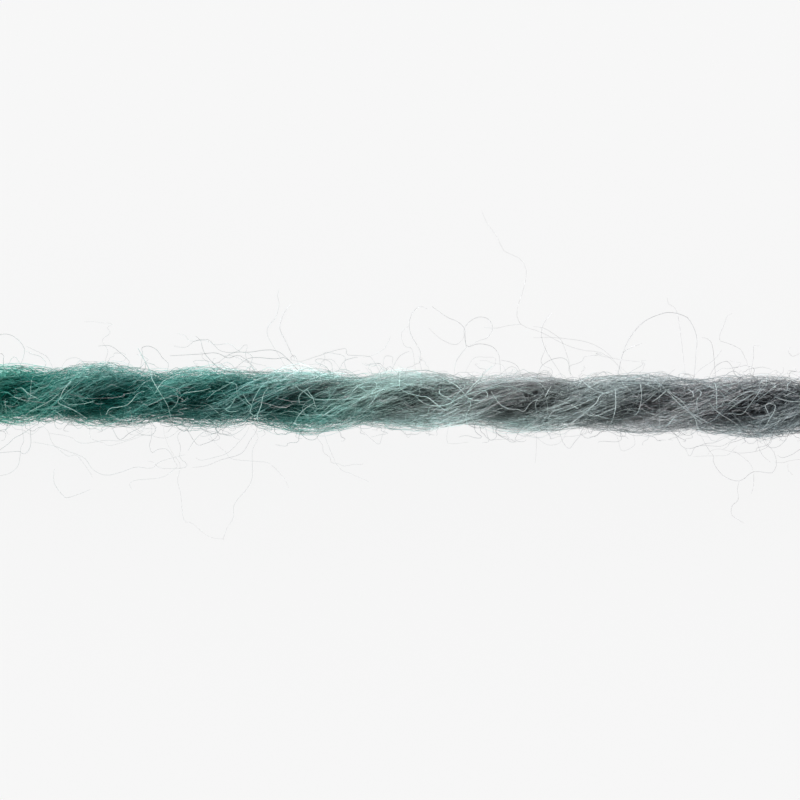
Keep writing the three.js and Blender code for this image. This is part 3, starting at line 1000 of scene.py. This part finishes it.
placedHairs = [
    {
        "name": "placed_faint_hairs", "wool": "stray_hair", "steps": 34, "thick": (0.007, 0.010),
        "tone": (0.9, 0.05), "lift": -0.05, "lines": faintLines,
    },
    {
        "name": "placed_bold_hairs", "wool": "stray_hair", "steps": 34, "thick": (0.011, 0.017),
        "tone": (0.85, 0.1), "lift": -0.03, "lines": boldLines,
    },
    {
        "name": "placed_crossing_hairs", "wool": "surface_hair", "steps": 30,
        "thick": (0.024, 0.036), "tone": (0.92, 0.08), "lift": 0.05, "lines": crossingLines,
    },
]


# A smooth line through a few points, in steps of even length: between two points it is the cubic
# that leaves each along the line from the point before to the point after.
def smoothLine(points, steps):
    knots = np.array([points[0]] + points + [points[-1]], dtype=float)
    t = np.linspace(0, len(points) - 1, 8 * len(points))[:, None]
    first = np.minimum(t.astype(int), len(points) - 2)[:, 0]
    f = t - first[:, None]
    before, here, there, after = (knots[first + step] for step in range(4))
    line = here + 0.5 * f * (there - before)
    line = line + f**2 * (before - 2.5 * here + 2 * there - 0.5 * after)
    line = line + f**3 * (1.5 * (here - there) + 0.5 * (after - before))
    done = np.concatenate([[0], np.cumsum(np.linalg.norm(np.diff(line, axis=0), axis=1))])
    even = np.linspace(0, done[-1], steps)
    return np.stack([np.interp(even, done, line[:, 0]), np.interp(even, done, line[:, 1])], axis=1)


# Placed hairs: over the strand they lie on its outline, and beside it they leave from the height
# of its axis with a slope of their own.
def layHairs(kind, seed):
    draw = Draw(seed, len(kind["lines"]))
    flat = np.stack([smoothLine(line, kind["steps"]) for line in kind["lines"]])
    x, across = flat[..., 0], flat[..., 1]
    angle = np.arccos(np.clip(across / strand["axisHeight"], -1, 1))
    reach = outlineReach(x, angle) + kind["lift"]
    rise = np.sqrt(np.maximum(reach**2 - across**2, 0) + 0.002)
    beside = np.maximum(np.abs(across) - reach, 0)
    z = strand["axisHeight"] + rise + draw.even(-0.5, 0.4) * beside
    paths = pointsOf(x, axisY + across, z)
    t = sharesAlong(kind)
    thick = draw.even(*kind["thick"]) * (0.6 + 0.4 * np.sin(math.pi * t))
    reference = np.repeat([[0.0, 0.0, 1.0]], len(kind["lines"]), axis=0)
    dye = dyeAndShadeOf(x, draw.bell(0, draftSpread["placed"]), draw.bell(*kind["tone"]))
    return fibreMesh(kind["name"], paths, thick, reference, dye, woolOf[kind["wool"]])


for number, kind in enumerate(placedHairs):
    fibrePieces.append(layHairs(kind, seeds["placed"] + number))
print("single hairs placed")

# The pale surface, lit from below as on a light table. size is in metres.
table = {"size": 3.0, "glow": 0.97, "tint": (245, 245, 245), "matt": (0.06, 0.06, 0.06, 1)}


# An even glow in the table's tint, plus a dim matt shade that takes a little shadow.
def floorMaterial():
    material = bpy.data.materials.new("white_table")
    material.use_nodes = True
    paint = Paint(material.node_tree)
    shade = paint.node("ShaderNodeBsdfDiffuse", {}, {"Color": table["matt"]})
    glow = paint.node(
        "ShaderNodeEmission", {}, {"Color": light(*table["tint"]), "Strength": table["glow"]}
    )
    both = paint.node("ShaderNodeAddShader", {}, {0: shade, 1: glow})
    paint.node("ShaderNodeOutputMaterial", {}, {"Surface": both})
    return material


floorMesh = bpy.data.meshes.new("table")
edge = table["size"] / 2
floorMesh.from_pydata(
    [(-edge, -edge, 0), (edge, -edge, 0), (edge, edge, 0), (-edge, edge, 0)], [], [(0, 1, 2, 3)]
)
floorMesh.materials.append(floorMaterial())
floor = bpy.data.objects.new("table", floorMesh)
bpy.context.scene.collection.objects.link(floor)

# The room: bright all round the horizon and dim overhead, by a power of 1 - height, and brighter
# on the +Y side
room = {"horizon": 13.9, "overhead": 0.12, "lean": 0.5, "power": 5.0}

world = bpy.data.worlds.new("studio")
world.use_nodes = True
bpy.context.scene.world = world
sky = Paint(world.node_tree)
direction = sky.node("ShaderNodeTexCoord", {}, {}, 0)
height = sky.node("ShaderNodeSeparateXYZ", {}, {0: direction}, 2)
height = sky.node("ShaderNodeClamp", {}, {0: height})
facing = sky.node("ShaderNodeSeparateXYZ", {}, {0: direction}, 1)
low = sky.node("ShaderNodeMath", {"operation": "POWER"}, {0: 1 - height, 1: room["power"]})
strength = room["overhead"] + room["horizon"] * low * (1 + room["lean"] * facing)
backdrop = sky.node("ShaderNodeBackground", {}, {"Color": (1, 1, 1, 1), "Strength": strength})
sky.node("ShaderNodeOutputWorld", {}, {"Surface": backdrop})
bpy.context.scene.view_settings.view_transform = "Standard"
print("studio lit")

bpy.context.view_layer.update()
for piece in [yarnCore] + fibrePieces:
    print(piece.name, "triangles", sum(len(face.vertices) - 2 for face in piece.data.polygons))
